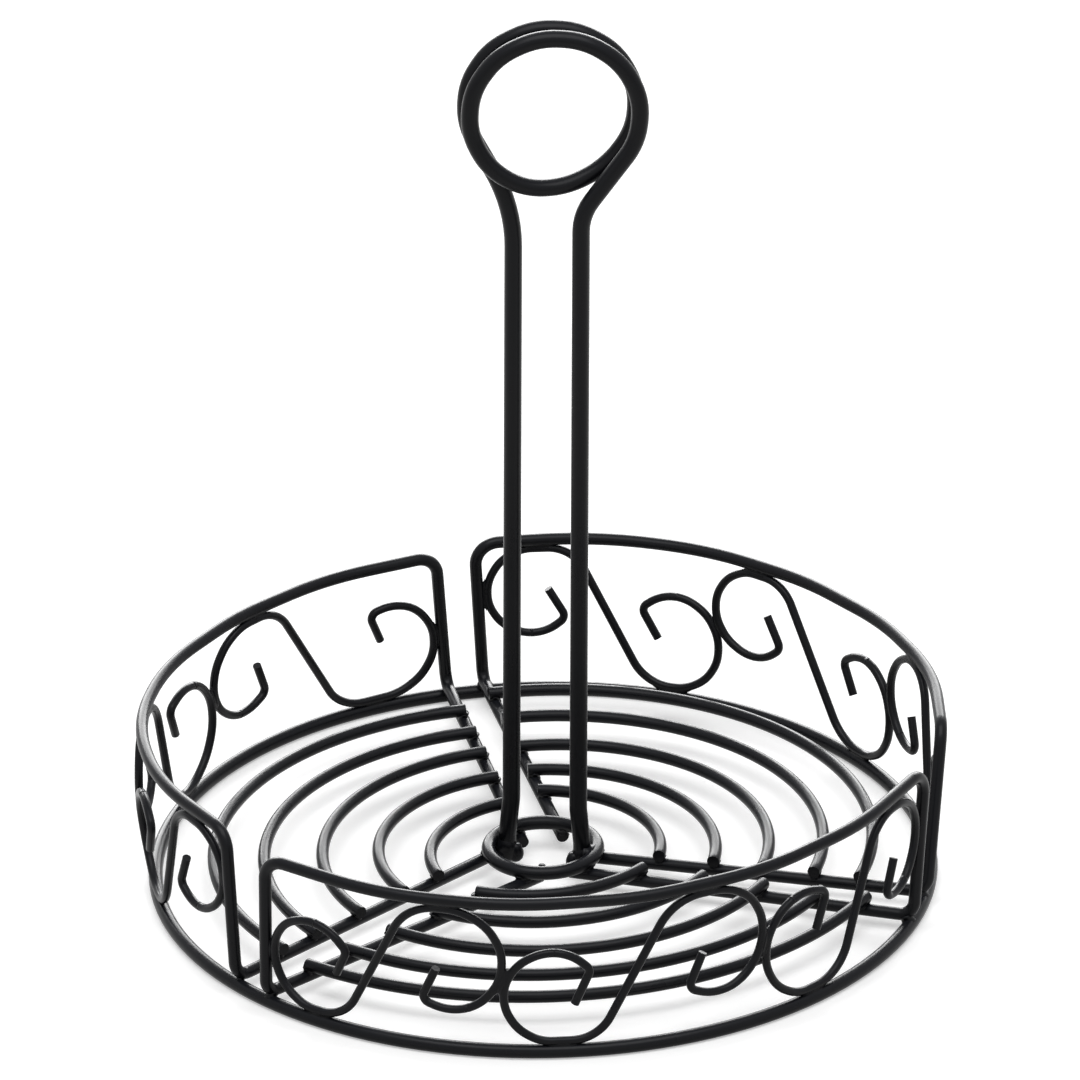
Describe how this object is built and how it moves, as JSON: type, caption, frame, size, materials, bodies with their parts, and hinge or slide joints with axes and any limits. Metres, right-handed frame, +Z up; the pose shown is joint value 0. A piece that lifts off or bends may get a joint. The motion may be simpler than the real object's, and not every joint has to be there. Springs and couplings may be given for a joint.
{
  "type": "condiment caddy",
  "caption": "Round wire condiment caddy: a floor of concentric arcs inside scrolled side panels, with an upright handle that ends in a two-turn loop.",
  "frame": {"origin": "middle of the base ring, on the surface that the caddy stands on", "axes": "+Z up along the handle; the front panel faces -Y; +X is to the right seen from the front"},
  "size_m": [0.206, 0.2035, 0.2385],
  "materials": {
    "black_coat": "semi-gloss black powder coat on steel wire"
  },
  "bodies": {
    "root": {"base_ring": "black_coat", "hub_ring": "black_coat", "handle": "black_coat", "right_frame": "black_coat", "right_floor_arc_1": "black_coat", "right_floor_arc_2": "black_coat", "right_floor_arc_3": "black_coat", "right_floor_arc_4": "black_coat", "right_floor_arc_5": "black_coat", "right_scroll_1": "black_coat", "right_scroll_2": "black_coat", "right_scroll_3": "black_coat", "left_frame": "black_coat", "left_floor_arc_1": "black_coat", "left_floor_arc_2": "black_coat", "left_floor_arc_3": "black_coat", "left_floor_arc_4": "black_coat", "left_floor_arc_5": "black_coat", "left_scroll_1": "black_coat", "left_scroll_2": "black_coat", "left_scroll_3": "black_coat", "front_frame": "black_coat", "front_floor_arc_1": "black_coat", "front_floor_arc_2": "black_coat", "front_floor_arc_3": "black_coat", "front_floor_arc_4": "black_coat", "front_floor_arc_5": "black_coat", "front_scroll_1": "black_coat", "front_scroll_2": "black_coat", "front_scroll_3": "black_coat"}
  },
  "joints": []
}
